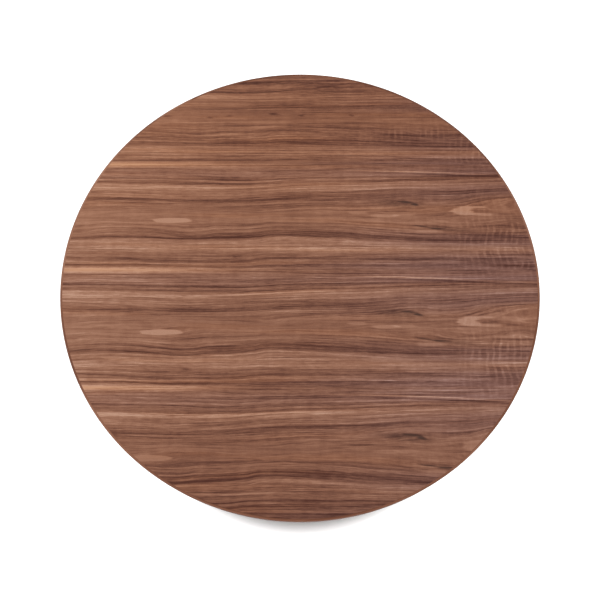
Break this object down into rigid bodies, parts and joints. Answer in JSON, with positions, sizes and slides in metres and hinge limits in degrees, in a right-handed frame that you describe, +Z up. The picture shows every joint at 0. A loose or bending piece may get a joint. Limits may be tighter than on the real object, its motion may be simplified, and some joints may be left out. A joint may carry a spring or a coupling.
{
  "type": "tilt top table",
  "caption": "Round walnut-veneered pedestal table; its top tips upright on a rod through the pivot block, with a hand bolt, splayed legs and levelling feet.",
  "frame": {"origin": "on the floor under the column, midway between the four feet", "axes": "+Z up; the grain and the pivot rod run along X; front is -Y, the side that the face looks to when the top is tipped upright"},
  "size_m": [1.067, 1.067, 0.74],
  "materials": {
    "walnut_veneer": "plain-sliced, slip-matched walnut veneer under satin lacquer",
    "backing_veneer": "quiet straight-grained walnut veneer, satin lacquer",
    "walnut_lipping": "solid walnut edge, satin lacquer",
    "core_board": "raw fibreboard",
    "walnut": "solid walnut, satin lacquer",
    "beech": "raw beech",
    "brass": "lightly brushed brass",
    "black_steel": "satin black powder coat",
    "plated_steel": "zinc plated",
    "rubber": "matt black rubber",
    "nylon": "moulded black nylon"
  },
  "bodies": {
    "base": {"bumper_level_left": "rubber", "bumper_level_right": "rubber", "bumper_upright_left": "rubber", "bumper_upright_right": "rubber", "column": "walnut", "hub": "walnut", "keeper_plate": "brass", "keeper_screw_left": "brass", "keeper_screw_right": "brass", "leg_dowel_front_left": "beech", "leg_dowel_front_right": "beech", "leg_dowel_rear_left": "beech", "leg_dowel_rear_right": "beech", "leg_front_left": "walnut", "leg_front_right": "walnut", "leg_rear_left": "walnut", "leg_rear_right": "walnut", "pivot_block": "walnut", "pivot_cap_left": "brass", "pivot_cap_right": "brass", "pivot_rod": "plated_steel", "pivot_washer_left": "nylon", "pivot_washer_right": "nylon", "spider_plate": "black_steel", "spider_screw_front_left": "plated_steel", "spider_screw_front_right": "plated_steel", "spider_screw_rear_left": "plated_steel", "spider_screw_rear_right": "plated_steel", "tie_nut_bottom": "plated_steel", "tie_nut_top": "plated_steel", "tie_rod": "plated_steel", "tie_washer_bottom": "plated_steel", "tie_washer_top": "plated_steel"},
    "top": {"face_veneer": "walnut_veneer", "top_core": "core_board", "backing_veneer": "backing_veneer", "edge_lipping": "walnut_lipping", "catch_rail": "walnut", "bolt_sleeve": "brass", "bearer_left": "walnut", "bearer_screw_left_front": "plated_steel", "bearer_screw_left_middle": "plated_steel", "bearer_screw_left_rear": "plated_steel", "rail_screw_left": "plated_steel", "pivot_bush_left": "brass", "bearer_right": "walnut", "bearer_screw_right_front": "plated_steel", "bearer_screw_right_middle": "plated_steel", "bearer_screw_right_rear": "plated_steel", "rail_screw_right": "plated_steel", "pivot_bush_right": "brass"},
    "hand_bolt": {"bolt_rod": "brass", "bolt_knob": "brass"},
    "foot_front_left": {"glide_front_left": "nylon"},
    "foot_front_right": {"glide_front_right": "nylon"},
    "foot_rear_right": {"glide_rear_right": "nylon"},
    "foot_rear_left": {"glide_rear_left": "nylon"}
  },
  "joints": [
    {"name": "tilt", "type": "hinge", "parent": "base", "child": "top", "pos_m": [0, -0.0523, 0.691], "axis": [1, 0, 0], "range_deg": [0, 90]},
    {"name": "bolt_throw", "type": "slide", "parent": "top", "child": "hand_bolt", "axis": [0, -1, 0], "range_m": [0, 0.012]},
    {"name": "level_front_left", "type": "slide", "parent": "base", "child": "foot_front_left", "axis": [0, 0, -1], "range_m": [0, 0.01]},
    {"name": "level_front_right", "type": "slide", "parent": "base", "child": "foot_front_right", "axis": [0, 0, -1], "range_m": [0, 0.01]},
    {"name": "level_rear_right", "type": "slide", "parent": "base", "child": "foot_rear_right", "axis": [0, 0, -1], "range_m": [0, 0.01]},
    {"name": "level_rear_left", "type": "slide", "parent": "base", "child": "foot_rear_left", "axis": [0, 0, -1], "range_m": [0, 0.01]}
  ]
}
